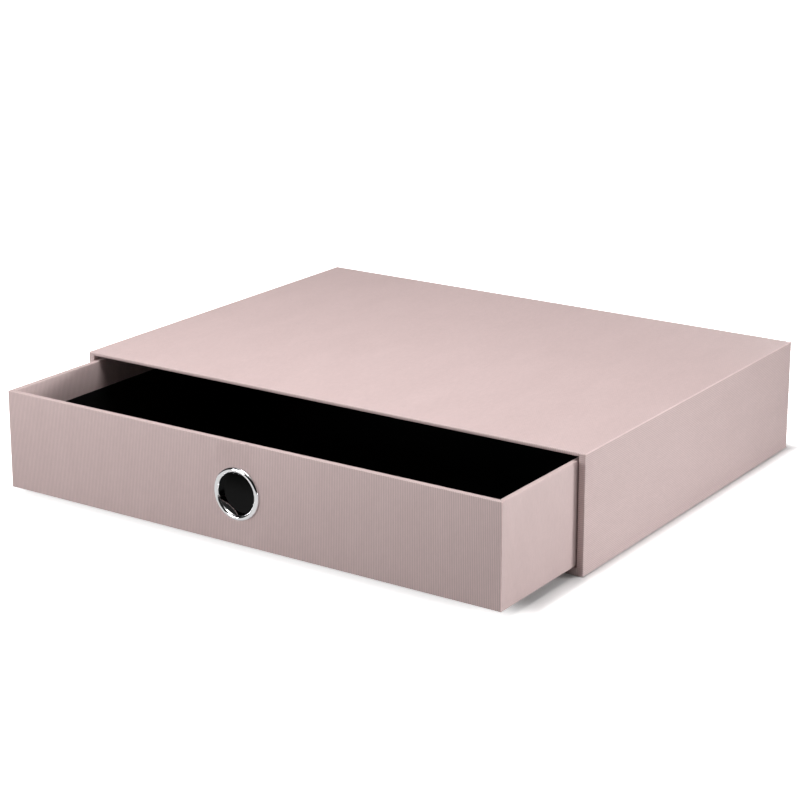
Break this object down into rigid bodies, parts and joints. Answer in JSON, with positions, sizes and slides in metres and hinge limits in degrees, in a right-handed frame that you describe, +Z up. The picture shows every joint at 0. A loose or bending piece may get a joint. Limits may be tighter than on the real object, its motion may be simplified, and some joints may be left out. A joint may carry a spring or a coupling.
{
  "type": "desktop drawer organizer",
  "caption": "Low desktop drawer box for documents: paper-covered board case with a pull-out drawer and a round metal finger ring in its front.",
  "frame": {"origin": "on the table, under the middle of the case's footprint", "axes": "X along the width, Y from the drawer's front towards the back, Z up; the drawer opens towards -Y"},
  "size_m": [0.335, 0.3265, 0.067],
  "materials": {
    "rose_paper": "matt dusty-rose cover paper with fine straight ribs",
    "black_paper": "matt black lining paper",
    "greyboard": "raw greyboard",
    "stay_paper": "brown gummed paper",
    "ring_chrome": "polished bright chrome",
    "washer_steel": "plain bright steel"
  },
  "bodies": {
    "case": {"case_cover_paper": "rose_paper", "case_back_paper": "rose_paper", "case_base_paper": "rose_paper", "case_wall_lining": "black_paper", "case_roof_lining": "black_paper", "case_back_lining": "black_paper", "case_top_board": "greyboard", "case_left_board": "greyboard", "case_right_board": "greyboard", "case_back_board": "greyboard", "case_base_board": "greyboard", "case_tray_floor_board": "greyboard", "case_tray_left_board": "greyboard", "case_tray_right_board": "greyboard", "case_corner_stays": "stay_paper"},
    "drawer": {"drawer_cover_paper": "rose_paper", "drawer_base_paper": "rose_paper", "drawer_wall_lining": "black_paper", "drawer_floor_lining": "black_paper", "drawer_front_board": "greyboard", "drawer_back_board": "greyboard", "drawer_left_board": "greyboard", "drawer_right_board": "greyboard", "drawer_floor_board": "greyboard", "drawer_corner_stays": "stay_paper", "pull_ring": "ring_chrome", "pull_ring_washer": "washer_steel"}
  },
  "joints": [
    {"name": "drawer_slide", "type": "slide", "parent": "case", "child": "drawer", "axis": [0, -1, 0], "range_m": [-0.073, 0.176]}
  ]
}
